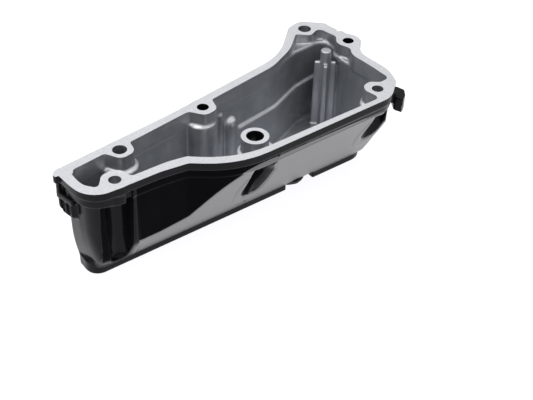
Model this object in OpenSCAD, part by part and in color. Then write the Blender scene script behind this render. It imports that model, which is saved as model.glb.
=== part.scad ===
// Die-cast oil sump: an open tub with a machined bolting flange, bolt lugs with
// sockets below them, a fluted pillar, a slanted near face and a low foot rim.
// The flange face is up, the foot rim stands on the ground. Millimetres, +Z up.

/* [Casting] */
// Height from the ground to the machined flange face
sump_h = 60.5; // [58:0.5:64]
// Thickness of the flange plate
flange_t = 5; // [4:0.5:6]
// Thickness of the cast floor
floor_t = 3; // [2.5:0.5:5]
// Height of the foot rim under the floor
rim_h = 4.5; // [4:0.5:6]
// Width of the foot rim
rim_w = 8; // [6:0.5:10]
// Height of the ledge on the far wall
ledge_z = 33.5; // [30:0.5:36]

/* [Slanted near face] */
// Lean of the near face from the vertical, degrees
lean = 29.25; // [27:0.25:31]
// Thickness of the slanted wall
slant_t = 3.4; // [3:0.2:5]

/* [Bolt lugs] */
// Diameter of the four flange bolt holes
bolt_d = 6.6; // [6.4:0.1:7]
// Diameter of the two locating holes
locate_d = 7.8; // [7.4:0.1:8.2]
// Diameter of the hole in the free-standing boss
boss_hole_d = 9.5; // [9:0.1:10]
// Diameter of the free-standing boss
boss_d = 15; // [14.6:0.1:15.6]
// Length of every lug along its hole
lug_l = 11.5; // [11:0.5:12]
// Radius of the socket below each lug
socket_r = 6.8; // [6.4:0.1:7]
// Wall between a socket and the inside of the tub
socket_wall = 2.7; // [2.4:0.1:3]

/* [Pillar] */
// Diameter of the pillar's pin
pin_d = 6.4; // [6:0.2:7]
// Depth of the pin's top below the flange face
pin_drop = 2; // [1:0.5:4]
// Width over the pillar's flutes
flute_w = 12.9; // [12:0.1:14]
// Thickness of one flute
flute_t = 2.6; // [2.2:0.2:3]
// Depth of the flutes' tops below the flange face
flute_drop = 9.5; // [8:0.5:12]

/* [Drain plug] */
// Diameter of the plug's threaded shank
plug_d = 11.8; // [10:0.1:11.8]
// Width of the hexagon across its corners
hex_d = 14.6; // [13:0.2:15]
// Outside diameter of the sealing washer
washer_d = 17.2; // [16.6:0.2:18]
// Thickness of the sealing washer
washer_t = 1.1; // [0.8:0.1:1.2]

/* [Hidden] */
$fn = 48;
e = 0.01;
// the drawing's zero is moved to the middle of the part's footprint
org = [-6.24, -1.23];
face_z = sump_h;
floor_z = rim_h + floor_t;
lug_z = face_z - lug_l;          // ceiling of the sockets
bump_z = lug_z + 2.5;            // top of the socket walls inside the tub
tier_z = face_z - 8;             // bottom of the second band under the near flange
near_a = -8.9;                   // direction of the long near side, degrees

// hole centres
F1 = [-92.5, 1.8];
F2 = [-74.6, 19.3];
F3 = [-17.5, 17.9];
F4 = [84, 36.2];
F5 = [92.5, 9];
F6 = [64.9, -36.2];
F7 = [-16.3, -20.3];
pillar_xy = [77.6, 13];
plug_xy = [28.1, -6.2];

// each vertex is [x, y, corner radius]
flange_v = [
  [-110.2, 23.6, 0.5], [-112.0, 23.7, 0.5], [-112.2, 25.9, 0.8], [-109.2, 28.4, 2],
  [-35, 25.1, 150], [50.7, 25.5, 46], [78, 43.7, 6], [88.6, 43.8, 5],
  [97.8, 32.5, 3], [97.3, 24.5, 1.5], [97.8, 22.3, 0.5], [95.2, 20.8, 0.8],
  [98.4, 19.6, 0.9], [98.2, 15.4, 3], [99.9, 9.5, 5], [98.2, 3.9, 4],
  [87.2, -4.7, 12], [84.9, -27.6, 20], [78.6, -38.6, 10], [64.2, -47, 16],
  [-39, -32.7, 52], [-57.2, -13.6, 4], [-72, -9.1, 25], [-111.7, -2.3, 14],
  [-111.4, 13.5, 20]
];
inner_v = [
  [-104.6, 22.9, 3.4], [-82.4, 22.3, 3], [-78.9, 12.6, 4.6], [-69.6, 12.6, 5.2], [-66.6, 20.8, 1.8],
  [-26.1, 20.2, 3], [-21.6, 11.1, 4.6], [-12.9, 11.1, 4.8], [-8.9, 19.9, 2],
  [40, 20.2, 30], [60, 26.1, 40], [75.5, 35.8, 2], [81, 28.7, 3], [90.8, 31.2, 3.4],
  [91.3, 17.4, 3], [85.4, 11.4, 6], [87.2, 2.4, 4], [82.2, -3, 10], [80.4, -20, 30],
  [78.2, -33.4, 3], [71.4, -33.1, 3.5], [67.2, -28.5, 3.6], [58.3, -28.5, 6], [59, -43, 3],
  [-36.2, -28.6, 54], [-54, -8.7, 2.5], [-64, -5.2, 22], [-84.6, -1.6, 2.4],
  [-85.2, 9.1, 6.4], [-95.4, 9.1, 6], [-101, 3.4, 0.8], [-103.4, 3.4, 2.4],
  [-106.5, 9.2, 8], [-106.3, 14, 20]
];
body_v = [
  [-105.8, 25.2, 2.6], [-35, 23.2, 150], [50, 23.2, 30], [65, 29.6, 8], [88, 29.4, 5],
  [94.4, 25, 4], [94.4, 5, 4], [83.6, -6, 10], [81.4, -29, 16], [75.4, -37.4, 10],
  [61.5, -44.8, 12], [-37.6, -30.6, 50], [-55.9, -11.3, 4], [-71.5, -6.9, 24],
  [-108.2, -0.6, 11.5], [-107.6, 14, 20]
];
// inside of the tub below the lugs
deep_v = [
  [-102.6, 21.6, 3], [-35, 20.2, 150], [48, 20.2, 20], [64, 26.2, 8], [90.2, 26.2, 4],
  [90.8, 8, 4], [81.6, -4, 10], [79.2, -22, 20], [77.6, -33.6, 6], [60, -41.6, 8],
  [-35.2, -27.6, 48], [-53.3, -7.9, 2.5], [-64, -4.7, 22], [-84, -1.2, 6],
  [-98.6, 1.6, 4], [-102.6, 6, 6], [-104.2, 13, 14]
];
// far right corner, where the wall steps out under the flange
corner_v = [
  [57, 24, 1], [78.4, 41.4, 5], [88.2, 41.6, 4], [95.8, 32, 3], [95.2, 15, 3],
  [97.2, 9.2, 4], [95.8, 5.2, 3], [87, -2.6, 2], [78, 6, 2]
];
// outline of the foot rim
foot_v = [
  [-103.8, 23.8, 4], [-35, 22.4, 120], [55, 22.4, 20], [70, 28.2, 8], [88, 28, 5],
  [92, 22, 5], [90.5, 5, 6], [81.8, -6, 10], [80.2, -21.7, 11.5], [-106, 7.4, 7.4], [-105.6, 15, 9]
];

function unit2(v) = v / norm(v);
function turn(a) = a > 180 ? a - 360 : (a < -180 ? a + 360 : a);
// the arc that rounds corner p1 between p0 and p2 with radius r
function corner(p0, p1, p2, r, n) =
  let (u = unit2(p0 - p1), v = unit2(p2 - p1), h = acos(u * v) / 2,
       c = p1 + unit2(u + v) * r / sin(h),
       s = p1 + u * r / tan(h) - c, t = p1 + v * r / tan(h) - c,
       a = atan2(s[1], s[0]), d = turn(atan2(t[1], t[0]) - a))
  [for (i = [0 : n]) c + r * [cos(a + d * i / n), sin(a + d * i / n)]];
function xy(v) = [v[0], v[1]];
// how many segments a corner needs: one for each 22 degrees or so, one for a tiny corner,
// and more for a wide one
function segs(p0, p1, p2, r) =
  r < 1.2 ? 1 : max(2, ceil((180 - acos(unit2(p0 - p1) * unit2(p2 - p1))) / (r > 40 ? 10 : 22)));
function rounded(v) = let (n = len(v))
  [for (i = [0 : n - 1])
    let (p0 = xy(v[(i + n - 1) % n]), p1 = xy(v[i]), p2 = xy(v[(i + 1) % n]))
    each corner(p0, p1, p2, v[i][2], segs(p0, p1, p2, v[i][2]))];
// y of the line that runs p mm behind the near side's zero line, at x
function near_y(x, p) = (p - x * sin(-near_a)) / cos(near_a);

module slab(v, z0, z1) translate([0, 0, z0]) linear_extrude(z1 - z0) polygon(rounded(v));

// everything outside the slanted near plane, moved in by d
module beyond_slant(d) {
  rotate([0, 0, near_a]) translate([-180, -9.2 + d / cos(lean), rim_h])
    rotate([lean, 0, 0]) translate([0, -80, -40]) cube([360, 80, 140]);
}
// everything outside the left end, which leans in towards the foot
module beyond_left(d) {
  translate([-103.8 + d, -60, 7]) rotate([0, -14, 0]) translate([-40, 0, -20]) cube([40, 120, 100]);
}

// socket below a lug, open towards direction a, with a mouth that is wider by f on one side
module socket(c, a, z0, r, reach, f = 0) {
  translate([c[0], c[1], z0]) rotate([0, 0, a]) linear_extrude(lug_z - z0)
    polygon(concat([for (i = [0 : 8]) r * [cos(90 + 22.5 * i), sin(90 + 22.5 * i)]],
                   [[1.5, -r - f], [reach, -r - f - 1], [reach, r]]));
}

module lugs() {
  for (c = [F1, F2, F3, F5, F6])
    translate([c[0], c[1], lug_z - 0.5]) cylinder(r = socket_r + 0.2, h = lug_l - 1.5);
  translate([F4[0], F4[1], lug_z - 0.5]) cylinder(r = 7.5, h = lug_l - 1.5);
}

module outside_solid() {
  slab(flange_v, face_z - flange_t, face_z);
  // second band below the near flange, cut off on a slant at its left end
  slab([[-13.6, -35.2, 0.5], [-7, -27, 0.5], [66, -34, 1], [78, -26, 1], [83.6, -27, 1],
        [81.8, -31.6, 6], [77.4, -38.4, 8], [63.4, -46.3, 14]], tier_z, face_z - 2);
  slab(corner_v, face_z - 10.5, face_z - 1.5);
  difference() {
    slab(body_v, rim_h, face_z - 2.5);
    beyond_slant(0);
    beyond_left(0);
  }
  slab(foot_v, 0, floor_z - 0.3);
  lugs();
  // lug block on the left end, with its rounded lower edge
  translate([-110.9, 13.6, 0]) {
    translate([0, 0, 44]) cube([8, 13.2, face_z - 2 - 44]);
    translate([0, 6.6, 44]) rotate([0, 90, 0]) cylinder(r = 6.6, h = 8);
  }
  // hook on the near right corner
  translate([75.2, -36.4, 43.4]) rotate([0, 0, -44]) {
    translate([0, -2.6, 4]) cube([5, 5.2, 8]);
    translate([2.4, -4, 0]) cube([6, 8, 9.2]);
  }
}

module tub() {
  slab(inner_v, face_z - 7, face_z + 1);
  difference() {
    slab(deep_v, floor_z, face_z - 6);
    beyond_slant(slant_t);
    beyond_left(3.2);
    for (c = [F1, F2, F5, F6, F7])
      translate([c[0], c[1], 5]) cylinder(r = socket_r + socket_wall, h = bump_z - 5);
    translate([F3[0], F3[1], 5]) cylinder(r = socket_r + socket_wall - 0.8, h = bump_z - 5);
    for (c = [F1, F2, F3, F5, F6]) translate([c[0], c[1], 50]) cylinder(r = 7, h = 5);
    bench();
  }
}

// thicker foot of the far wall: its top is the ledge that follows the wall to behind the pillar
module bench() {
  difference() {
    translate([9, 12, 3]) cube([75, 20, ledge_z - 3]);
    translate([0, -2.2, 0]) slab(deep_v, 2, ledge_z + 1);
  }
}

// pieces that stand inside the tub
module inner_posts() {
  // free-standing boss
  translate([F7[0], F7[1], lug_z - 0.5]) cylinder(d = boss_d, h = face_z - lug_z + 0.5);
  // half-round rib with a domed top, its wider foot, and the thin rib beside it
  intersection() {
    union() {
      translate([4.8, 20.4, 6]) cylinder(r = 4.8, h = 32.2);
      translate([4.8, 20.4, 38.2]) sphere(r = 4.8);
      translate([4.8, 20.4, 6]) cylinder(r = 7.2, h = 11.8);
      translate([-2.6, 20.4, 6]) cylinder(r = 2, h = 42);
    }
    translate([-20, 5, 5.5]) cube([50, 16.4, 50]);
  }
  // boss for the drain plug's thread
  difference() {
    translate([plug_xy[0], plug_xy[1], 6]) cylinder(r = 9.6, h = 8.5);
    beyond_slant(1);
  }
  // fluted pillar
  translate([pillar_xy[0], pillar_xy[1], 6]) {
    cylinder(d = pin_d, h = face_z - pin_drop - 6);
    for (a = [43, 133]) rotate([0, 0, a])
      translate([-flute_w / 2, -flute_t / 2, 0]) cube([flute_w, flute_t, face_z - flute_drop - 6]);
  }
}

module openings_cut() {
  // bolt holes, locating holes and the boss hole
  for (c = [F1, F3, F5, F6]) translate([c[0], c[1], lug_z - 1]) cylinder(d = bolt_d, h = lug_l + 2);
  for (c = [F2, F4]) translate([c[0], c[1], lug_z - 1]) cylinder(d = locate_d, h = lug_l + 2);
  translate([F7[0], F7[1], lug_z - 1]) cylinder(d = boss_hole_d, h = lug_l + 2);
  // sockets, each open to the outside
  socket(F1, -98.9, 6, socket_r, 20, 3.6);
  socket(F2, 90, 6, socket_r, 20);
  socket(F3, 90, 6, socket_r, 20);
  socket(F4, 90, 6, socket_r, 20);
  socket(F5, 0, 6, socket_r, 20);
  socket(F6, -98.9, 6, socket_r, 40);
  socket(F7, -98.9, 6, socket_r + 0.2, 40);
}

module sump_casting() {
  color([0.13, 0.13, 0.14])
    translate([-org[0], -org[1], 0]) difference() {
      union() {
        difference() { outside_solid(); tub(); }
        inner_posts();
      }
      openings_cut();
      // underside between the foot rims, and the notch round the drain plug
      slab([[-70, 14.4, 0.8], [56, 14.4, 4], [72, 20, 4], [84, 20, 4], [83, 6, 4],
            [74.6, near_y(74.6, rim_w - 9.2), 4], [-70, near_y(-70, rim_w - 9.2), 0.8]], -1, rim_h);
      translate([plug_xy[0], plug_xy[1], -1]) cylinder(r = 10.4, h = rim_h + 1);
      rotate([0, 0, near_a]) translate([21.5, -30, -1]) cube([19.1, 24, rim_h + 1]);
      // thread of the drain plug
      translate([plug_xy[0], plug_xy[1], 0]) cylinder(r = 6, h = 30);
      // recess in the left lug block
      translate([-112, 16, 50.3]) cube([3.4, 9, 4.4]);
      translate([-112, 16.6, 40.5]) cube([2.8, 2.4, 7]);
      translate([-112, 21, 40.5]) cube([2.8, 3, 7]);
    }
}

module drain_plug() {
  z0 = rim_h - washer_t;
  color([0.07, 0.07, 0.075])
  translate([plug_xy[0] - org[0], plug_xy[1] - org[1], 0]) {
    difference() {
      union() {
        translate([0, 0, z0 - 0.9]) cylinder(d = washer_d - 0.8, h = 0.9);
        translate([0, 0, 0.7]) cylinder(d = hex_d, h = z0 - 0.9 - 0.7 + e, $fn = 6);
        translate([0, 0, z0 - e]) cylinder(d = plug_d, h = 9.4);
        translate([0, 0, z0 + 9.4 - e]) cylinder(d1 = plug_d, d2 = plug_d - 2, h = 1);
      }
      translate([0, 0, 0.7 - e]) cylinder(d = 7.2, h = 0.7);
    }
  }
}

module drain_plug_washer() {
  color([0.6, 0.61, 0.62])
  translate([plug_xy[0] - org[0], plug_xy[1] - org[1], rim_h - washer_t]) difference() {
    cylinder(d = washer_d, h = washer_t);
    translate([0, 0, -1]) cylinder(d = plug_d + 0.4, h = washer_t + 2);
  }
}

sump_casting();
drain_plug();
drain_plug_washer();
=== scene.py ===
import math

import bmesh
import bpy
import numpy as np
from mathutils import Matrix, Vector


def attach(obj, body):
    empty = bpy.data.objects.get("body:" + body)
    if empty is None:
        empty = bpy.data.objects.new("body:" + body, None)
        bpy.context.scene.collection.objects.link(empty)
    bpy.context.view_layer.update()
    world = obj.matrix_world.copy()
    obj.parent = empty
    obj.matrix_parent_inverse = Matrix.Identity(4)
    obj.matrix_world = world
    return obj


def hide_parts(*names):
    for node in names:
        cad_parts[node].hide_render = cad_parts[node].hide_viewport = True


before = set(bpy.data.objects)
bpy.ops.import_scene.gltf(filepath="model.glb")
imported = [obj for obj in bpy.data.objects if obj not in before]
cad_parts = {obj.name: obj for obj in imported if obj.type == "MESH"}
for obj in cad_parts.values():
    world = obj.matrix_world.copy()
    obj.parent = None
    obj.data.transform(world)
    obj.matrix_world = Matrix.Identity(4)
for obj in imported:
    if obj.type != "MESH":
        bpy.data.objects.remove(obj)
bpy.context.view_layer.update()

# ---------------------------------------------------------------- the casting's outlines
# drawing coordinates in millimetres; ORG moves them to the middle of the part's footprint
ORG = (-6.24, -1.23)
FACE = 60.5
FLOOR = 7.5
LUG = 49.0
BUMP = 51.5
NEAR = math.radians(8.9)
LEAN = math.radians(29.25)

F1 = (-92.5, 1.8)
F2 = (-74.6, 19.3)
F3 = (-17.5, 17.9)
F4 = (84.0, 36.2)
F5 = (92.5, 9.0)
F6 = (64.9, -36.2)
F7 = (-16.3, -20.3)
PILLAR = (77.6, 13.0)
PLUG = (28.1, -6.2)

FLANGE_V = [
    (-110.2, 23.6, .5), (-112.0, 23.7, .5), (-112.2, 25.9, .8), (-109.2, 28.4, 2),
    (-35, 25.1, 150), (50.7, 25.5, 46), (78, 43.7, 6), (88.6, 43.8, 5),
    (97.8, 32.5, 3), (97.3, 24.5, 1.5), (97.8, 22.3, .5), (95.2, 20.8, .8),
    (98.4, 19.6, .9), (98.2, 15.4, 3), (99.9, 9.5, 5), (98.2, 3.9, 4),
    (87.2, -4.7, 12), (84.9, -27.6, 20), (78.6, -38.6, 10), (64.2, -47, 16),
    (-39, -32.7, 52), (-57.2, -13.6, 4), (-72, -9.1, 25), (-111.7, -2.3, 14), (-111.4, 13.5, 20)]
INNER_V = [
    (-104.6, 22.9, 3.4), (-82.4, 22.3, 3), (-78.9, 12.6, 4.6), (-69.6, 12.6, 5.2), (-66.6, 20.8, 1.8),
    (-26.1, 20.2, 3), (-21.6, 11.1, 4.6), (-12.9, 11.1, 4.8), (-8.9, 19.9, 2),
    (40, 20.2, 30), (60, 26.1, 40), (75.5, 35.8, 2), (81, 28.7, 3), (90.8, 31.2, 3.4),
    (91.3, 17.4, 3), (85.4, 11.4, 6), (87.2, 2.4, 4), (82.2, -3, 10), (80.4, -20, 30),
    (78.2, -33.4, 3), (71.4, -33.1, 3.5), (67.2, -28.5, 3.6), (58.3, -28.5, 6), (59, -43, 3),
    (-36.2, -28.6, 54), (-54, -8.7, 2.5), (-64, -5.2, 22), (-84.6, -1.6, 2.4),
    (-85.2, 9.1, 6.4), (-95.4, 9.1, 6), (-101, 3.4, .8), (-103.4, 3.4, 2.4), (-106.5, 9.2, 8), (-106.3, 14, 20)]
# the same mouth without its lugs: the walls that run down to the floor
WALL_V = [
    (-103.0, 22.85, 3), (-82.4, 22.3, 150), (-66.6, 20.8, 150), (-26.1, 20.2, 150), (-8.9, 19.9, 150),
    (40, 20.2, 30), (60, 25.4, 10), (66, 26.6, 8), (89.6, 27.2, 7),
    (90.6, 17.6, 4), (84.6, 14.2, 6), (83.2, 4, 14), (81.2, -20, 60),
    (78.4, -34, 8), (60, -42.8, 8),
    (-36.2, -28.6, 54), (-54, -8.7, 2.5), (-64, -5.2, 22), (-84.6, -1.6, 20), (-93.5, .4, 6),
    (-98.5, 5, 5), (-103.4, 7.4, 5), (-104.4, 13, 8)]
BODY_V = [
    (-105.8, 25.2, 2.6), (-35, 23.2, 150), (50, 23.2, 30), (65, 29.6, 8), (88, 29.4, 5),
    (94.4, 25, 4), (94.4, 5, 4), (83.6, -6, 10), (81.4, -29, 16), (75.4, -37.4, 10),
    (61.5, -44.8, 12), (-37.6, -30.6, 50), (-55.9, -11.3, 4), (-71.5, -6.9, 24),
    (-108.2, -0.6, 11.5), (-107.6, 14, 20)]
CORNER_V = [
    (57, 24, 1), (78.4, 41.4, 5), (88.2, 41.6, 4), (95.8, 32, 3), (95.2, 15, 3),
    (97.2, 9.2, 4), (95.8, 5.2, 3), (87, -2.6, 2), (78, 6, 2)]
FOOT_V = [
    (-103.8, 23.8, 4), (-35, 22.4, 120), (55, 22.4, 20), (70, 28.2, 8), (88, 28, 5),
    (92, 22, 5), (90.5, 5, 6), (81.8, -6, 10), (80.2, -21.7, 11.5), (-106, 7.4, 7.4), (-105.6, 15, 9)]
HOOK_V = [
    (84.6, -33.6, 1), (85.5, -40.0, 1.6), (82.0, -43.5, 2), (76.4, -46.2, .8), (75.3, -41, 1), (79.5, -36, 1)]
BAND_V = [
    (-13.6, -35.2, .5), (-7, -27, .5), (66, -34, 1), (78, -26, 1), (83.6, -27, 1),
    (81.8, -31.6, 6), (77.4, -38.4, 8), (63.4, -46.3, 14)]


def rounded(verts, step=6.0):
    """A closed outline with each corner replaced by its arc."""
    n = len(verts)
    out = []
    for i in range(n):
        p0, p1, p2 = (np.array(verts[j % n][:2], float) for j in (i - 1, i, i + 1))
        r = verts[i][2]
        u = (p0 - p1) / np.linalg.norm(p0 - p1)
        v = (p2 - p1) / np.linalg.norm(p2 - p1)
        h = math.acos(max(-1, min(1, float(u @ v)))) / 2
        c = p1 + (u + v) / np.linalg.norm(u + v) * r / math.sin(h)
        s, t = p1 + u * r / math.tan(h) - c, p1 + v * r / math.tan(h) - c
        a = math.atan2(s[1], s[0])
        d = (math.atan2(t[1], t[0]) - a + math.pi) % (2 * math.pi) - math.pi
        k = max(1, int(math.ceil(abs(math.degrees(d)) / step)))
        out += [c + r * np.array([math.cos(a + d * j / k), math.sin(a + d * j / k)]) for j in range(k + 1)]
    return np.array(out)


# ---------------------------------------------------------------- a distance field on a grid
PITCH = 0.62
LO = np.array([-115.0, -51.0, -2.0])
HI = np.array([103.0, 47.0, 62.6])
NXYZ = [int(math.ceil((HI[i] - LO[i]) / PITCH)) + 1 for i in range(3)]
AX = (LO[0] + PITCH * np.arange(NXYZ[0])).astype(np.float32)
AY = (LO[1] + PITCH * np.arange(NXYZ[1])).astype(np.float32)
AZ = (LO[2] + PITCH * np.arange(NXYZ[2])).astype(np.float32)
X2, Y2 = np.meshgrid(AX, AY, indexing="ij")
X, Y, Z = AX[:, None, None], AY[None, :, None], AZ[None, None, :]


def outline(verts):
    """Signed distance to a rounded outline on the ground grid, negative inside."""
    p = rounded(verts)
    q = np.roll(p, -1, axis=0)
    best = np.full(X2.shape, 1e9, np.float32)
    inside = np.zeros(X2.shape, bool)
    for (ax, ay), (bx, by) in zip(p, q):
        ex, ey = bx - ax, by - ay
        ll = ex * ex + ey * ey
        if ll < 1e-12:
            continue
        wx, wy = X2 - ax, Y2 - ay
        t = np.clip((wx * ex + wy * ey) / ll, 0, 1)
        best = np.minimum(best, (wx - t * ex) ** 2 + (wy - t * ey) ** 2)
        if ey != 0:
            inside ^= ((ay > Y2) != (by > Y2)) & (X2 < ex * (Y2 - ay) / ey + ax)
    d = np.sqrt(best)
    return np.where(inside, -d, d).astype(np.float32)[:, :, None]


def both(a, b, r):
    """What is in a and in b, with a round edge of radius r between them."""
    return np.minimum(-r, np.maximum(a, b)) + np.sqrt(np.maximum(r + a, 0) ** 2 + np.maximum(r + b, 0) ** 2)


def either(a, b, r):
    """What is in a or in b, with a fillet of radius r between them."""
    return np.maximum(r, np.minimum(a, b)) - np.sqrt(np.maximum(r - a, 0) ** 2 + np.maximum(r - b, 0) ** 2)


def less(a, b, r):
    return both(a, -b, r)


def soft(a, b, k):
    """What is in a and in b where the two run nearly alongside each other."""
    h = np.maximum(k - np.abs(a - b), 0) / k
    return np.maximum(a, b) + h * h * k / 4


def step(a, b, x):
    t = np.clip((x - a) / (b - a), 0, 1)
    return t * t * (3 - 2 * t)


def post(c, r, z0, z1, edge=1.0, draft=0.0, top=None):
    """An upright post with a rounded top edge; it widens downwards by its draft."""
    d = np.hypot(X - c[0], Y - c[1]) - r - draft * ((top if top is not None else z1) - Z)
    return both(both(d, Z - z1, edge), z0 - Z, 0.01)


def socket(c, a, r, flare=0.0, draft=0.0, z0=6.0, z1=LUG, floor_r=1.2, left=0.0):
    """The open socket below a lug, which opens towards direction a, in degrees."""
    a = math.radians(a)
    u = (X - c[0]) * math.cos(a) + (Y - c[1]) * math.sin(a)
    v = -(X - c[0]) * math.sin(a) + (Y - c[1]) * math.cos(a)
    rr = r - draft * (z1 - Z)
    back = np.hypot(u, v) - rr
    side = np.maximum(v - rr - flare * np.maximum(u, 0), -v - rr - (flare + left) * np.maximum(u, 0))
    d = np.where(u < 0, back, side)
    return both(both(d, Z - z1, 0.9), z0 - Z, floor_r)


def casting_field():
    perp = X * math.sin(NEAR) + Y * math.cos(NEAR)
    slant = (-9.2 - math.tan(LEAN) * (Z - 4.5) - perp) * math.cos(LEAN)      # positive outside it
    left = ((-103.8 - X) - math.tan(math.radians(14)) * (Z - 7)) * math.cos(math.radians(14))
    flange2, inner2, wall2, body2 = outline(FLANGE_V), outline(INNER_V), outline(WALL_V), outline(BODY_V)
    corner2, foot2, band2 = outline(CORNER_V), outline(FOOT_V), outline(BAND_V)

    # outside
    body = body2 + 0.012 * (FACE - 5 - Z)
    body = soft(body, slant, 0.7 + 7.5 * step(60, 78, X))
    body = soft(body, left, 3.0)
    body = both(body, 4.5 - Z, 1.2)
    foot = both(both(foot2, Z - 7.3, 0.5), -Z, 0.7)
    solid = either(body, foot, 0.7)
    flange = both(flange2 - 0.0, (FACE - 5) - Z, 0.9)
    band = both(band2, (FACE - 8) - Z, 0.9)
    corner = both(corner2, (FACE - 10.5) - Z, 1.5)
    solid = either(solid, corner, 1.5)
    solid = either(solid, band, 0.8)
    for c, r in ((F1, 7.0), (F2, 7.0), (F3, 7.0), (F5, 7.0), (F6, 7.0), (F4, 7.5)):
        lug = both(np.hypot(X - c[0], Y - c[1]) - r, LUG - 0.4 - Z, 1.0)
        solid = either(solid, lug, 1.5)
    solid = either(solid, flange, 1.2)

    # inside: one smooth-walled tub, with a pocket under the far right corner
    deep = wall2 + 0.02 * (FACE - Z)
    deep = both(deep, slant + 3.4, 4.0)
    deep = both(deep, left + 3.2, 6.0)
    deep = both(deep, FLOOR - Z, 3.0)
    shelf = 52.8 + step(17, 24, Y) * (3.5 - 0.077 * (X - 64)) - 0.25 * np.clip(Y - 28, 0, 9) - Z
    pocket = both(inner2 + 0.02 * (FACE - Z), shelf, 1.6)
    tub = either(deep, pocket, 1.6)
    solid = less(solid, tub, 0.6)

    # the ring of lugs under the mouth, and the socket walls with their round tops
    ring = both(both(-(inner2 + 0.02 * (FACE - Z)), flange2 + 1.5, 0.3), 50.0 - Z, 0.8)
    solid = either(solid, ring, 0.8)
    inside = np.maximum(np.maximum(deep - 6.0, slant + 0.3), body2 + 0.3)
    for c, r in ((F1, 9.3), (F2, 9.5), (F6, 9.4), (F7, 9.6), ((F7[0] + 2.3, F7[1] - 0.36), 9.6)):
        wall = post(c, r, 5.5, BUMP, 1.8, 0.02)
        solid = either(solid, both(wall, inside, 0.1), 1.6)

    solid = either(solid, both(post((-18.4, 18.0), 8.4, 5.5, 52.8, 1.3, 0.02), inside, 0.1), 1.5)

    # thicker foot of the far wall: its top is the ledge that follows the wall to the pillar
    bench = both(-(wall2 + 2.9), Z - 33.5, 1.5)
    bench = both(both(bench, np.maximum(8 - X, X - 84), 1.0), np.maximum(12 - Y, inside), 0.1)
    solid = either(solid, bench, 1.2)

    # ribs on the far wall
    rib_d = np.sqrt((X - 4.8) ** 2 + (Y - 20.4) ** 2 + np.maximum(Z - 37.8, 0) ** 2) - 4.8 - 0.012 * (40 - Z)
    solid = either(solid, both(rib_d, inside, 0.1), 1.4)
    solid = either(solid, both(post((4.8, 20.4), 7.2, 5.5, 17.8, 2.0), inside, 0.1), 1.5)
    solid = either(solid, both(post((-2.6, 20.2), 2.0, 5.5, 48, 1.4), inside, 0.1), 1.2)

    # boss for the drain plug's thread, and the fluted pillar with its pin
    solid = either(solid, both(post(PLUG, 9.6, 5.5, 14.5, 1.0, 0.02), slant + 1.0, 0.5), 1.8)
    flutes = 1e3
    for a in (43, 133):
        a = math.radians(a)
        u = (X - PILLAR[0]) * math.cos(a) + (Y - PILLAR[1]) * math.sin(a)
        v = -(X - PILLAR[0]) * math.sin(a) + (Y - PILLAR[1]) * math.cos(a)
        w = 0.010 * (FACE - 9.5 - Z)
        arm = both(np.abs(u) - 6.45 - w, np.abs(v) - 1.3 - w, 0.9)
        flutes = arm if isinstance(flutes, float) else either(flutes, arm, 1.2)
    flutes = both(both(flutes, Z - (FACE - 9.7), 0.7), 5.5 - Z, 0.1)
    pin = post(PILLAR, 3.2, 5.5, FACE - 2.0, 0.35)
    pillar = either(flutes, pin, 0.8)
    solid = either(solid, pillar, 1.6)

    # free-standing boss
    boss = both(np.hypot(X - F7[0], Y - F7[1]) - 7.5, LUG - 0.6 - Z, 0.3)
    solid = either(solid, boss, 1.2)

    # lug block on the left end and hook on the near right corner
    def box(x0, y0, z0, x1, y1, z1, r):
        return both(both(np.maximum(x0 - X, X - x1), np.maximum(y0 - Y, Y - y1), r), np.maximum(z0 - Z, Z - z1), r)

    lower = box(-110.4, 15.2, 36.0, -103, 26.2, 48, 0.6)
    lower = both(lower, 36.0 + 0.55 * np.maximum(Y - 22.4, 0) + 0.35 * np.maximum(-108.4 - X, 0) - Z, 2.4)
    for lo, hi in (((-113, 17.0, 37.6), (-108.8, 19.6, 45.8)), ((-113, 21.2, 38.6), (-108.8, 24.4, 45.8))):
        lower = less(lower, box(*lo, *hi, 0.4), 0.3)
    solid = either(solid, lower, 2.2)
    solid = either(solid, box(-110.9, 23.9, 46.0, -103, 26.4, 57, 0.4), 0.4)
    solid = either(solid, box(-110.9, 14.0, 46.4, -101, 26.2, 49.9, 0.35), 0.4)
    solid = either(solid, box(-109.2, 18.6, 48, -104, 20.2, 55.9, 0.5), 0.9)
    a = math.radians(-44)
    u = (X - 75.2) * math.cos(a) + (Y + 36.4) * math.sin(a)
    v = -(X - 75.2) * math.sin(a) + (Y + 36.4) * math.cos(a)
    neck = both(both(np.abs(v) - 2.4, np.maximum(-u, u - 7), 0.5), np.maximum(47.6 - Z, Z - 55.4 + 0.5 * np.maximum(u, 0)), 0.5)
    hook = both(outline(HOOK_V), np.maximum(43.6 - Z, Z - 52.6), 0.5)
    solid = either(solid, either(neck, hook, 0.8), 0.8)

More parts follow.
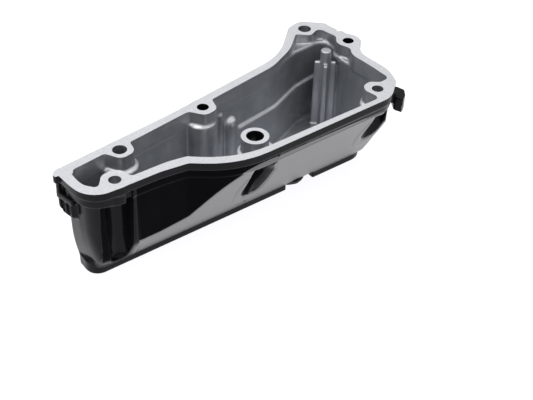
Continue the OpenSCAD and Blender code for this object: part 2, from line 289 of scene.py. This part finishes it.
    # openings
    sockets = [
        (F1, -98.9, 6.8, 0.03, 0.035, 5.6, 0.35), (F2, 90, 6.8, 0.0, 0.02, 6, 0), (F3, 90, 6.2, 0.0, 0.01, 6, 0),
        (F4, 90, 6.6, 0.0, 0.02, 6, 0), (F5, 0, 6.8, 0.0, 0.02, 6, 0), (F6, -98.9, 6.9, 0.02, 0.02, 6, 0), (F7, -98.9, 7.1, 0.02, 0.015, 6, 0)]
    pits = None
    for c, a, r, flare, draft, z0, lf in sockets:
        s = socket(c, a, r, flare, draft, z0, LUG, 4.0 if lf else 1.2, lf)
        pits = s if pits is None else np.minimum(pits, s)
    a = math.radians(-98.9)
    u = (X - F1[0]) * math.cos(a) + (Y - F1[1]) * math.sin(a)
    v = -(X - F1[0]) * math.sin(a) + (Y - F1[1]) * math.cos(a)
    slot = both(both(2.3 - v, v - 6.6, 0.3), np.maximum(3.6 - u, np.maximum(40 - Z, Z - 55.2)), 0.3)
    pits = np.minimum(pits, slot)
    wing = both(both(-v - 10.8 - 0.012 * (LUG - Z), v + 3.0, 0.5), 0.3 - u, 1.0)
    wing = both(both(wing, Z - LUG, 0.9), 6.4 - Z, 2.5)
    pits = np.minimum(pits, wing)
    a = math.radians(-98.9)
    v = -(X - F7[0]) * math.sin(a) + (Y - F7[1]) * math.cos(a)
    near7 = 1 - step(10, 16, np.abs(v))
    solid = less(solid, pits, 0.8)
    easy = 0.8 + 5.2 * step(-1, 6, v) * near7 * (1 - step(36, 46, Z)) * step(13, 19, Z)
    here = (np.abs(v) < 16) & (v > -1) & (Z > 9) & (Z < 46.5)
    solid = np.maximum(solid, np.where(here, both(slant, -pits, easy), -9))
    bores = None
    for c, r in ((F1, 3.3), (F3, 3.3), (F5, 3.3), (F6, 3.3), (F2, 3.9), (F4, 3.9), (F7, 4.75)):
        b = np.maximum(np.hypot(X - c[0], Y - c[1]) - r, LUG - 2 - Z)
        bores = b if bores is None else np.minimum(bores, b)
    solid = less(solid, bores, 0.0)
    ny = lambda p: (p - X * math.sin(NEAR)) / math.cos(NEAR)
    under = both(both(np.maximum(-70 - X, X - 82.5), np.maximum(ny(-1.2) - Y, Y - np.where(X < 64, 14.4, 14.4 + 5.6 * step(58, 72, X))), 3.0), Z - 4.5, 0.8)
    solid = less(solid, under, 0.6)
    xr = X * math.cos(NEAR) - Y * math.sin(NEAR)
    yr = perp
    gap = both(np.minimum(np.hypot(X - PLUG[0], Y - PLUG[1]) - 10.4,
                          np.maximum(np.maximum(21.5 - xr, xr - 40.6), yr - 0.5)), Z - 4.5, 0.05)
    solid = less(solid, gap, 0.7)
    thread = np.maximum(np.hypot(X - PLUG[0], Y - PLUG[1]) - 6.0, Z - 40)
    solid = less(solid, thread, 0.0)

    # what the air belongs to, for the finishes
    air_in = np.minimum(np.maximum(np.maximum(wall2 - 0.2, slant + 2.2), left + 1.8), np.maximum(inner2 - 0.3, 50.5 - Z))
    air_in = np.maximum(np.maximum(air_in, 6.0 - Z), -np.minimum(pits - 0.2, 1e3))
    return solid.astype(np.float32), air_in.astype(np.float32), pits.astype(np.float32), bores.astype(np.float32)


def sample(f, p):
    """Trilinear value of a field at points, in drawing coordinates."""
    g = (p - LO) / PITCH
    i = np.clip(np.floor(g).astype(int), 0, np.array(f.shape) - 2)
    t = np.clip(g - i, 0, 1)
    v = 0
    for dx in (0, 1):
        for dy in (0, 1):
            for dz in (0, 1):
                w = (t[:, 0] if dx else 1 - t[:, 0]) * (t[:, 1] if dy else 1 - t[:, 1]) * (t[:, 2] if dz else 1 - t[:, 2])
                v = v + w * f[i[:, 0] + dx, i[:, 1] + dy, i[:, 2] + dz]
    return v


def slope(f, p, h):
    g = np.stack([sample(f, p + d) - sample(f, p - d) for d in np.eye(3) * h], axis=1) / (2 * h)
    return g


def net(f):
    """Surface nets: one point for each crossed cell, one quad for each crossed grid edge."""
    s = f < 0
    cnt = np.zeros([n - 1 for n in f.shape], np.uint8)
    corners = [(a, b, c) for a in (0, 1) for b in (0, 1) for c in (0, 1)]
    for a, b, c in corners:
        cnt += s[a:a + cnt.shape[0], b:b + cnt.shape[1], c:c + cnt.shape[2]]
    cells = np.argwhere((cnt > 0) & (cnt < 8))
    idx = np.full(cnt.shape, -1, np.int64)
    idx[tuple(cells.T)] = np.arange(len(cells))
    pos = np.zeros((len(cells), 3))
    hits = np.zeros(len(cells))
    for a in corners:
        for k in range(3):
            if a[k]:
                continue
            b = list(a); b[k] = 1
            fa = f[cells[:, 0] + a[0], cells[:, 1] + a[1], cells[:, 2] + a[2]].astype(float)
            fb = f[cells[:, 0] + b[0], cells[:, 1] + b[1], cells[:, 2] + b[2]].astype(float)
            m = (fa < 0) != (fb < 0)
            t = fa[m] / (fa[m] - fb[m])
            p = np.array(a, float) + t[:, None] * (np.array(b, float) - np.array(a, float))
            pos[m] += p
            hits[m] += 1
    pos = LO + PITCH * (cells + pos / hits[:, None])
    quads = []
    for k in range(3):
        o = [j for j in range(3) if j != k]
        lo = [slice(None)] * 3; hi = [slice(None)] * 3
        lo[k], hi[k] = slice(0, -1), slice(1, None)
        cross = s[tuple(lo)] != s[tuple(hi)]
        for j in o:
            cut = [slice(None)] * 3; cut[j] = slice(0, 1)
            cross[tuple(cut)] = False
            cut[j] = slice(-1, None)
            cross[tuple(cut)] = False
        e = np.argwhere(cross)
        d1, d2 = np.zeros(3, int), np.zeros(3, int)
        d1[o[0]], d2[o[1]] = 1, 1
        q = np.stack([idx[tuple((e - d).T)] for d in (d1 + d2, d2, 0 * d1, d1)], axis=1)
        solid_first = s[tuple(e.T)]
        flip = solid_first if k == 1 else ~solid_first
        q[flip] = q[flip][:, ::-1]
        quads.append(q)
    return pos, np.concatenate(quads)


def new_mesh(name, verts, faces):
    me = bpy.data.meshes.new(name)
    me.from_pydata([tuple(v) for v in verts], [], [tuple(int(i) for i in f) for f in faces])
    me.update()
    ob = bpy.data.objects.new(name, me)
    bpy.context.scene.collection.objects.link(ob)
    return ob


def build_casting():
    solid, air_in, pits, bores = casting_field()
    pos, quads = net(solid)
    for _ in range(3):
        f = sample(solid, pos)
        g = slope(solid, pos, 0.35 * PITCH)
        g2 = np.maximum((g * g).sum(1), 0.25)
        move = -(f / g2)[:, None] * g
        far = np.linalg.norm(move, axis=1)
        move *= np.minimum(1, 0.3 * PITCH / np.maximum(far, 1e-9))[:, None]
        pos = pos + move
    verts = (pos - np.array([ORG[0], ORG[1], 0])) / 1000
    ob = new_mesh("casting", verts, quads)
    me = ob.data
    bm = bmesh.new()
    bm.from_mesh(me)
    bmesh.ops.remove_doubles(bm, verts=bm.verts, dist=1e-6)
    face = FACE / 1000
    geom = bm.verts[:] + bm.edges[:] + bm.faces[:]
    bmesh.ops.bisect_plane(bm, geom=geom, dist=2e-5, plane_co=(0, 0, face), plane_no=(0, 0, 1), clear_outer=True)
    rim = [e for e in bm.edges if len(e.link_faces) == 1]
    for e in rim:
        for v in e.verts:
            v.co.z = face
    before = set(bm.faces)
    bmesh.ops.triangle_fill(bm, use_beauty=True, edges=rim, normal=(0, 0, 1))
    bmesh.ops.recalc_face_normals(bm, faces=bm.faces[:])
    bm.to_mesh(me)
    bm.free()
    return ob, (solid, air_in, pits, bores)


def finish_casting(ob, fields):
    solid, air_in, pits, bores = fields
    me = ob.data
    limit = 179000
    tris = sum(len(p.vertices) - 2 for p in me.polygons)
    if tris > limit:
        m = ob.modifiers.new("d", "DECIMATE")
        m.ratio = limit / tris
        m.use_collapse_triangulate = True
        dg = bpy.context.evaluated_depsgraph_get()
        me2 = bpy.data.meshes.new_from_object(ob.evaluated_get(dg))
        ob.modifiers.clear()
        ob.data = me2
        me = me2
    out = -np.array([math.sin(NEAR) * math.cos(LEAN), math.cos(NEAR) * math.cos(LEAN), math.sin(LEAN)])
    p0 = np.array([0, -9.2 / math.cos(NEAR), 4.5]) - 0.3 * out
    bm = bmesh.new()
    bm.from_mesh(me)
    bmesh.ops.bisect_plane(bm, geom=bm.verts[:] + bm.edges[:] + bm.faces[:], dist=1e-6, plane_no=tuple(out),
                           plane_co=tuple((p0 - np.array([ORG[0], ORG[1], 0])) / 1000))
    bmesh.ops.bisect_plane(bm, geom=bm.verts[:] + bm.edges[:] + bm.faces[:], dist=1e-6, plane_no=(0, 0, 1), plane_co=(0, 0, 0.0541))
    bmesh.ops.triangulate(bm, faces=[f for f in bm.faces if len(f.verts) > 3])
    bmesh.ops.dissolve_degenerate(bm, edges=bm.edges[:], dist=2e-6)
    bm.to_mesh(me)
    bm.free()
    n = len(me.polygons)
    cen = np.zeros(n * 3); me.polygons.foreach_get("center", cen)
    nor = np.zeros(n * 3); me.polygons.foreach_get("normal", nor)
    cen = cen.reshape(-1, 3) * 1000 + np.array([ORG[0], ORG[1], 0])
    nor = nor.reshape(-1, 3)
    air = cen + nor * 0.5
    slot = np.zeros(n, np.int32)                                  # 0 black outside
    perp = cen[:, 0] * math.sin(NEAR) + cen[:, 1] * math.cos(NEAR)
    lean = (-9.2 - math.tan(LEAN) * (cen[:, 2] - 4.5) - perp) * math.cos(LEAN)
    face_n = np.array([-math.sin(NEAR) * math.cos(LEAN), -math.cos(NEAR) * math.cos(LEAN), -math.sin(LEAN)])
    wall_n = np.array([-0.25, -0.97, 0])
    slot[(nor @ wall_n > 0.5) & (cen[:, 0] > -85) & (cen[:, 0] < 5) & (cen[:, 2] < 55.2) & (cen[:, 2] > 4.6) & (lean < -0.3)] = 5   # 5 the wall above it, in the darker copy of the black coat: painted shade
    slot[(lean > -0.3) & (nor @ face_n > 0.84) & (cen[:, 0] > -84.5) & (cen[:, 2] > 4.6) & (cen[:, 2] < 54.1)] = 4   # 4 the slanted face, in the lighter copy of the black coat that carries a painted reflection of the floor
    slot[sample(air_in, air) < 0] = 1                             # 1 bare cast inside
    v7 = (cen[:, 0] - F7[0]) * math.cos(NEAR) - (cen[:, 1] - F7[1]) * math.sin(NEAR)
    easy = (lean > -6) & (lean < 0.5) & (v7 > -1) & (v7 < 14) & (cen[:, 2] > 9) & (cen[:, 2] < 46.4)
    # Painted shade: inside faces round the mouth below F7 take the darker copy of the black coat
    slot[easy & (nor @ face_n > 0.05) & (slot == 1)] = 5
    # Outer faces of that mouth: plain black coat where set back high up, else the lighter copy with the painted
    # reflection of the floor
    side = easy & (nor @ face_n > 0.05) & (v7 > 2) & (sample(pits, air) > 0.1)
    slot[side & (lean < -0.6) & (cen[:, 2] > 17)] = 0
    slot[side & ((lean >= -0.6) | (cen[:, 2] <= 17)) & (nor @ face_n > 0.4)] = 4
    # Painted shade: the recess beside the F1 socket takes the darker copy of the black coat
    v1 = (cen[:, 0] - F1[0]) * math.cos(NEAR) - (cen[:, 1] - F1[1]) * math.sin(NEAR)
    slot[(v1 < -5.6) & (v1 > -14.6) & (cen[:, 1] < 8) & (cen[:, 2] > 6.6) & (cen[:, 2] < LUG - 0.5) & (sample(pits, air) < -0.05)] = 5
    slot[(slot == 1) & (nor[:, 2] > 0.5) & (cen[:, 2] > 49.4) & (cen[:, 2] < 53.2) & (cen[:, 0] < 72)] = 6   # 6 painted highlight on the upward lands of the lugs
    slot[(slot == 1) & (nor[:, 2] > 0.6) & (cen[:, 2] > 36) & (cen[:, 2] < 43.5) & (cen[:, 0] < 20) & (cen[:, 1] > 12)] = 6   # and painted highlight on the rib's upward tops
    hole = np.zeros(n, bool)
    for c, r in ((F1, 3.3), (F6, 3.3), (F2, 3.9), (F4, 3.9)):
        hole |= (np.hypot(air[:, 0] - c[0], air[:, 1] - c[1]) < r + 0.1) & (cen[:, 2] > LUG - 0.6) & (np.abs(nor[:, 2]) < 0.5)
    slot[hole] = 3                                                # 3 drilled walls
    for c, r in ((F3, 3.3), (F5, 3.3), (F7, 4.75)):
        slot[(np.hypot(air[:, 0] - c[0], air[:, 1] - c[1]) < r + 0.1) & (cen[:, 2] < FACE - 0.1)] = 0
    slot[(cen[:, 2] > FACE - 0.05) & (nor[:, 2] > 0.9)] = 2       # 2 machined face
    me.polygons.foreach_set("material_index", slot)
    me.polygons.foreach_set("use_smooth", np.ones(n, bool))
    me.set_sharp_from_angle(angle=math.radians(50))
    me.update()
    even_normals(me, solid, cen, nor)
    return ob


def even_normals(me, solid, cen, nor):
    """Corner normals taken from the field, so that thinned triangles leave no marks on smooth faces."""
    nl = len(me.loops)
    vi = np.zeros(nl, np.int32); me.loops.foreach_get("vertex_index", vi)
    co = np.zeros(len(me.vertices) * 3); me.vertices.foreach_get("co", co)
    co = co.reshape(-1, 3) * 1000 + np.array([ORG[0], ORG[1], 0])
    total = np.zeros(len(me.polygons), np.int32); me.polygons.foreach_get("loop_total", total)
    pi = np.repeat(np.arange(len(me.polygons)), total)
    pull = np.minimum(0.3, 0.5 / np.maximum(np.linalg.norm(cen[pi] - co[vi], axis=1), 1e-6))[:, None]
    g = slope(solid, co[vi] * (1 - pull) + cen[pi] * pull, 0.9 * PITCH)
    size = np.linalg.norm(g, axis=1)
    g /= np.maximum(size, 1e-9)[:, None]
    flat = ((g * nor[pi]).sum(1) < 0.80) | (size < 0.5) | ((cen[pi, 2] > FACE - 0.05) & (nor[pi, 2] > 0.9))
    g[flat] = nor[pi][flat]
    me.normals_split_custom_set(g.tolist())
    me.update()


# ---------------------------------------------------------------- finishes
class Tree:
    def __init__(self, name):
        self.mat = bpy.data.materials.new(name)
        self.mat.use_nodes = True
        self.n, self.l = self.mat.node_tree.nodes, self.mat.node_tree.links
        self.bsdf = self.n["Principled BSDF"]
        self.pos = self.n.new("ShaderNodeTexCoord").outputs["Object"]

    def node(self, kind, ins=None, **props):
        nd = self.n.new(kind)
        for k, v in props.items():
            setattr(nd, k, v)
        for k, v in (ins or {}).items():
            if isinstance(v, bpy.types.NodeSocket):
                self.l.new(v, nd.inputs[k])
            else:
                nd.inputs[k].default_value = v
        return nd

    def noise(self, scale, detail=4, rough=0.55, stretch=None):
        vec = self.pos
        if stretch:
            vec = self.node("ShaderNodeMapping", {"Vector": self.pos, "Scale": stretch}).outputs[0]
        return self.node("ShaderNodeTexNoise", {"Vector": vec, "Scale": scale, "Detail": detail, "Roughness": rough}).outputs["Fac"]

    def ramp(self, fac, stops):
        nd = self.node("ShaderNodeValToRGB", {"Fac": fac})
        el = nd.color_ramp.elements
        while len(el) < len(stops):
            el.new(0.5)
        for e, (p, c) in zip(el, stops):
            e.position = p
            e.color = (c, c, c, 1) if isinstance(c, (int, float)) else tuple(c) + (1,)
        return nd.outputs["Color"]

    def math(self, op, a, b=None, clamp=False):
        nd = self.node("ShaderNodeMath", operation=op, use_clamp=clamp)
        for i, v in enumerate((a, b)):
            if v is None:
                continue
            if isinstance(v, bpy.types.NodeSocket):
                self.l.new(v, nd.inputs[i])
            else:
                nd.inputs[i].default_value = v
        return nd.outputs[0]

    def mix(self, fac, a, b):
        nd = self.node("ShaderNodeMix", data_type="RGBA")
        for i, v in ((0, fac), (6, a), (7, b)):
            if isinstance(v, bpy.types.NodeSocket):
                self.l.new(v, nd.inputs[i])
            else:
                nd.inputs[i].default_value = v if not isinstance(v, tuple) else v + (1,)
        return nd.outputs[2]

    def bump(self, height, dist, strength=1.0, chain=None):
        ins = {"Height": height, "Distance": dist, "Strength": strength}
        if chain is not None:
            ins["Normal"] = chain
        return self.node("ShaderNodeBump", ins).outputs["Normal"]

    def set(self, **kw):
        names = {"color": "Base Color", "rough": "Roughness", "metal": "Metallic", "normal": "Normal", "coat": "Coat Weight",
                 "coat_rough": "Coat Roughness", "ior": "IOR", "spec": "Specular IOR Level"}
        for k, v in kw.items():
            s = self.bsdf.inputs[names[k]]
            if isinstance(v, bpy.types.NodeSocket):
                self.l.new(v, s)
            else:
                s.default_value = v if not isinstance(v, tuple) else v + (1,)
        return self.mat


def coat(name, ior, rough0, low, high, specks):
    """Black coating with a slight orange peel, cloudy gloss and a few dust specks."""
    t = Tree(name)
    orange = t.noise(420, 3, 0.5)
    fine = t.noise(1500, 2, 0.5)
    cloud = t.noise(28, 5, 0.6)
    dust = t.noise(160, 6, 0.65)
    col = t.mix(t.ramp(cloud, [(0.35, 0.0), (0.7, 1.0)]), low, high)
    col = t.mix(t.ramp(dust, [(0.62, 0.0), (0.8, specks)]), col, (0.03, 0.03, 0.032))
    rough = t.math("ADD", t.math("MULTIPLY", cloud, 0.08), rough0)
    rough = t.math("ADD", rough, t.math("MULTIPLY", dust, 0.05))
    nrm = t.bump(orange, 0.00006, 0.25)
    nrm = t.bump(fine, 0.00002, 0.25, nrm)
    return t.set(color=col, rough=rough, metal=0.0, ior=ior, normal=nrm)


def black_coat():
    return coat("black_coat", 1.22, 0.15, (0.0040, 0.0040, 0.0050), (0.0075, 0.0075, 0.0090), 0.25)


# Painted reflection: the slanted face's copy of the black coat, its base colour lifted well above the black coat's
# to stand in for the pale floor it mirrors
def black_slant_painted_reflection():
    return coat("black_slant_painted_reflection", 1.9, 0.24, (0.056, 0.056, 0.060), (0.068, 0.068, 0.073), 0.0)


# Painted shade: a darker copy of the black coat for the near wall above the slanted face and the mouths of the
# near sockets
def black_painted_shade():
    return coat("black_painted_shade", 1.08, 0.12, (0.0016, 0.0016, 0.0022), (0.0036, 0.0036, 0.0046), 0.15)


def bare_cast():
    t = Tree("bare_cast")
    grain = t.noise(900, 4, 0.65)
    mott = t.noise(60, 5, 0.6)
    broad = t.noise(14, 3, 0.5)
    flow = t.noise(36, 5, 0.6, (1.0, 1.0, 0.35))
    col = t.mix(t.ramp(mott, [(0.3, 0.0), (0.72, 1.0)]), (0.41, 0.425, 0.45), (0.60, 0.615, 0.64))
    col = t.mix(t.ramp(flow, [(0.45, 0.0), (0.75, 0.5)]), col, (0.28, 0.295, 0.32))
    rough = t.math("ADD", t.math("MULTIPLY", mott, 0.14), 0.25)
    rough = t.math("ADD", rough, t.math("MULTIPLY", broad, 0.08))
    nrm = t.bump(grain, 0.00007, 0.6)
    nrm = t.bump(mott, 0.0003, 0.25, nrm)
    return t.set(color=col, rough=rough, metal=0.82, normal=nrm)


def cast_painted_highlight():
    """Painted highlight: a lighter copy of the bare casting, laid on the upward tops of its inner bosses and rib
    where the light from above falls.
    """
    t = Tree("cast_painted_highlight")
    grain = t.noise(900, 4, 0.65)
    mott = t.noise(110, 5, 0.6)
    col = t.mix(t.ramp(mott, [(0.3, 0.0), (0.72, 1.0)]), (0.66, 0.67, 0.69), (0.86, 0.87, 0.89))
    rough = t.math("ADD", t.math("MULTIPLY", mott, 0.14), 0.24)
    return t.set(color=col, rough=rough, metal=0.55, normal=t.bump(grain, 0.00006, 0.5))


def machined():
    t = Tree("machined_face")
    fine = t.noise(700, 3, 0.6)
    marks = t.noise(240, 4, 0.6, (0.25, 3.0, 1.0))
    cloud = t.noise(35, 4, 0.55)
    col = t.mix(t.ramp(fine, [(0.3, 0.0), (0.7, 1.0)]), (0.57, 0.58, 0.605), (0.68, 0.69, 0.71))
    col = t.mix(t.ramp(cloud, [(0.4, 0.0), (0.75, 0.4)]), col, (0.54, 0.55, 0.58))
    rough = t.math("ADD", t.math("MULTIPLY", marks, 0.12), 0.42)
    nrm = t.bump(marks, 0.00002, 0.5)
    nrm = t.bump(fine, 0.00002, 0.4, nrm)
    return t.set(color=col, rough=rough, metal=0.35, normal=nrm)


def drilled():
    t = Tree("drilled_wall")
    rings = t.noise(900, 3, 0.6, (0.6, 0.6, 4.0))
    mott = t.noise(260, 4, 0.6)
    col = t.mix(t.ramp(mott, [(0.35, 0.0), (0.65, 1.0)]), (0.16, 0.165, 0.175), (0.38, 0.39, 0.41))
    rough = t.math("ADD", t.math("MULTIPLY", mott, 0.2), 0.35)
    nrm = t.bump(rings, 0.00006, 0.6)
    return t.set(color=col, rough=rough, metal=0.8, normal=nrm)


def plug_black():
    t = Tree("plug_black")
    fine = t.noise(1200, 3, 0.6)
    cloud = t.noise(150, 5, 0.6)
    col = t.mix(t.ramp(cloud, [(0.35, 0.0), (0.7, 1.0)]), (0.012, 0.012, 0.013), (0.028, 0.028, 0.030))
    rough = t.math("ADD", t.math("MULTIPLY", cloud, 0.18), 0.24)
    return t.set(color=col, rough=rough, metal=0.2, normal=t.bump(fine, 0.00004, 0.5))


def washer_metal():
    t = Tree("washer_metal")
    marks = t.noise(500, 4, 0.6, (1, 1, 6))
    cloud = t.noise(120, 4, 0.6)
    col = t.mix(t.ramp(cloud, [(0.35, 0.0), (0.7, 1.0)]), (0.020, 0.020, 0.022), (0.042, 0.042, 0.045))
    rough = t.math("ADD", t.math("MULTIPLY", marks, 0.2), 0.35)
    return t.set(color=col, rough=rough, metal=0.6, normal=t.bump(marks, 0.00003, 0.5))


def floor_mat():
    t = Tree("studio_floor")
    n = t.noise(9, 3, 0.5)
    col = t.mix(t.ramp(n, [(0.3, 0.0), (0.7, 1.0)]), (0.22, 0.22, 0.224), (0.26, 0.26, 0.264))
    t.bsdf.inputs["Emission Color"].default_value = (0.975, 0.97, 1.0, 1)
    t.bsdf.inputs["Emission Strength"].default_value = 0.94
    return t.set(color=col, rough=t.math("ADD", t.math("MULTIPLY", n, 0.1), 0.6), metal=0.0, spec=0.2)


# ---------------------------------------------------------------- the drain plug and its washer
def lathe(profile, n=64):
    """A closed surface of revolution round the upright axis, from (radius, height) points."""
    verts, faces = [], []
    rings = []
    for r, z in profile:
        if r < 1e-6:
            rings.append([len(verts)]); verts.append((0, 0, z))
        else:
            rings.append(list(range(len(verts), len(verts) + n)))
            verts += [(r * math.cos(2 * math.pi * i / n), r * math.sin(2 * math.pi * i / n), z) for i in range(n)]
    for a, b in zip(rings, rings[1:]):
        for i in range(n):
            j = (i + 1) % n
            if len(a) == 1:
                faces.append((a[0], b[j], b[i]))
            elif len(b) == 1:
                faces.append((a[i], a[j], b[0]))
            else:
                faces.append((a[i], a[j], b[j], b[i]))
    return verts, faces


def build_plug(at):
    """A flanged hexagon plug, head down: hexagon with a chamfered end, flange, threaded shank."""
    z0 = 3.4
    n = 96
    rings = []

    def hexr(a, flat):
        k = (a + math.pi / 6) % (math.pi / 3) - math.pi / 6
        return flat / math.cos(k)

    verts, faces = [], []

    def ring(fn, z):
        base = len(verts)
        for i in range(n):
            a = 2 * math.pi * i / n
            r = fn(a)
            verts.append((r * math.cos(a), r * math.sin(a), z))
        rings.append(list(range(base, base + n)))

    flat = 14.6 / 2 * math.cos(math.pi / 6)
    verts.append((0, 0, 1.5)); rings.append([0])
    ring(lambda a: 3.2, 1.45)
    ring(lambda a: 3.55, 1.2)
    ring(lambda a: 3.75, 0.78)
    ring(lambda a: 4.0, 0.7)
    ring(lambda a: 6.15, 0.7)
    ring(lambda a: min(hexr(a, flat) - 0.12, 6.55), 0.82)
    ring(lambda a: min(hexr(a, flat), 6.95), 1.05)
    ring(lambda a: min(hexr(a, flat), 7.22), 1.35)
    ring(lambda a: min(hexr(a, flat), 7.25), 2.3)
    ring(lambda a: min(hexr(a, flat) + 0.15, 7.4), 2.48)
    ring(lambda a: 8.0, 2.55)
    ring(lambda a: 8.16, 2.68)
    ring(lambda a: 8.2, 2.9)
    ring(lambda a: 8.2, 3.25)
    ring(lambda a: 8.1, 3.38)
    ring(lambda a: 7.9, z0)
    ring(lambda a: 5.9, z0)
    z = z0 + 0.3
    ring(lambda a: 5.45, z)
    while z < 12.6:
        ring(lambda a: 5.45, z + 0.15)
        ring(lambda a: 5.88, z + 0.45)
        ring(lambda a: 5.88, z + 0.6)
        ring(lambda a: 5.45, z + 0.9)
        z += 1.0
    ring(lambda a: 5.3, z + 0.2)
    ring(lambda a: 4.9, 13.78)
    verts.append((0, 0, 13.78)); rings.append([len(verts) - 1])
    for a, b in zip(rings, rings[1:]):
        for i in range(n):
            j = (i + 1) % n
            if len(a) == 1:
                faces.append((a[0], b[j], b[i]))
            elif len(b) == 1:
                faces.append((a[i], a[j], b[0]))
            else:
                faces.append((a[i], a[j], b[j], b[i]))
    v = [((x + at[0]) / 1000, (y + at[1]) / 1000, zz / 1000) for x, y, zz in verts]
    ob = new_mesh("plug", v, [f[::-1] for f in faces])
    fix(ob)
    return ob


def build_washer(at):
    r0, r1, z0, z1 = 6.1, 8.6, 3.4, 4.5
    c = 0.15
    prof = [(r0, z0 + c), (r0 + c, z0), (r1 - c, z0), (r1 - 0.04, z0 + 0.05), (r1, z0 + c), (r1, z1 - c), (r1 - 0.04, z1 - 0.05), (r1 - c, z1), (r0 + c, z1), (r0, z1 - c), (r0, z0 + c)]
    verts, faces = lathe(prof, 96)
    v = [((x + at[0]) / 1000, (y + at[1]) / 1000, zz / 1000) for x, y, zz in verts]
    ob = new_mesh("washer", v, faces)
    fix(ob)
    return ob


def fix(ob, angle=35):
    bm = bmesh.new()
    bm.from_mesh(ob.data)
    bmesh.ops.remove_doubles(bm, verts=bm.verts, dist=1e-7)
    bmesh.ops.recalc_face_normals(bm, faces=bm.faces[:])
    bm.to_mesh(ob.data)
    bm.free()
    ob.data.polygons.foreach_set("use_smooth", np.ones(len(ob.data.polygons), bool))
    ob.data.set_sharp_from_angle(angle=math.radians(angle))


casting, fields = build_casting()
casting = finish_casting(casting, fields)
for m in (black_coat(), bare_cast(), machined(), drilled(), black_slant_painted_reflection(), black_painted_shade(), cast_painted_highlight()):
    casting.data.materials.append(m)
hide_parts("sump_casting")
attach(casting, "root")

at = (PLUG[0] - ORG[0], PLUG[1] - ORG[1])
plug = build_plug(at)
plug.data.materials.append(plug_black())
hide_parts("drain_plug")
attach(plug, "root")
washer = build_washer(at)
washer.data.materials.append(washer_metal())
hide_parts("drain_plug_washer")
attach(washer, "root")

# ---------------------------------------------------------------- stage, light and camera
floor = new_mesh("studio_floor", [(-6, -6, 0), (6, -6, 0), (6, 6, 0), (-6, 6, 0)], [(0, 1, 2, 3)])
floor.data.materials.append(floor_mat())

world = bpy.data.worlds.new("studio")
bpy.context.scene.world = world
world.use_nodes = True
wn, wl = world.node_tree.nodes, world.node_tree.links
bg = wn["Background"]
way = wn.new("ShaderNodeTexCoord").outputs["Generated"]
split = wn.new("ShaderNodeSeparateXYZ")
wl.new(way, split.inputs[0])
sky = wn.new("ShaderNodeValToRGB")
wl.new(split.outputs["Z"], sky.inputs["Fac"])
for e, (p, c) in zip(sky.color_ramp.elements, ((0.08, 0.18), (0.62, 0.8))):
    e.position = p
    e.color = (c, c, c * 1.01, 1)
wl.new(sky.outputs["Color"], bg.inputs["Color"])
bg.inputs["Strength"].default_value = 1.0
bpy.context.scene.view_settings.view_transform = "Standard"


def area(name, loc, target, size, power, size_y=None):
    d = bpy.data.lights.new(name, "AREA")
    d.energy = power
    d.size = size
    if size_y:
        d.shape = "RECTANGLE"
        d.size_y = size_y
    o = bpy.data.objects.new(name, d)
    bpy.context.scene.collection.objects.link(o)
    o.location = loc
    o.rotation_euler = (Vector(target) - Vector(loc)).to_track_quat("-Z", "Y").to_euler()
    return o


area("key_overhead", (0.10, 0.25, 0.95), (0, 0, 0.04), 0.9, 4)
area("fill_left", (-0.9, 0.2, 0.55), (0, 0, 0.04), 0.5, 1.5)

cam_data = bpy.data.cameras.new("camera")
cam_data.sensor_fit = "HORIZONTAL"
cam_data.sensor_width = 36
cam_data.lens = 1100 / 533 * 36
cam_data.clip_start = 0.01
cam_data.clip_end = 20
camera = bpy.data.objects.new("camera", cam_data)
bpy.context.scene.collection.objects.link(camera)
camera.location = (-0.34868, -0.34116, 0.39445)
camera.rotation_euler = (math.radians(51.116), math.radians(-1.476), math.radians(-46.11))
bpy.context.scene.camera = camera
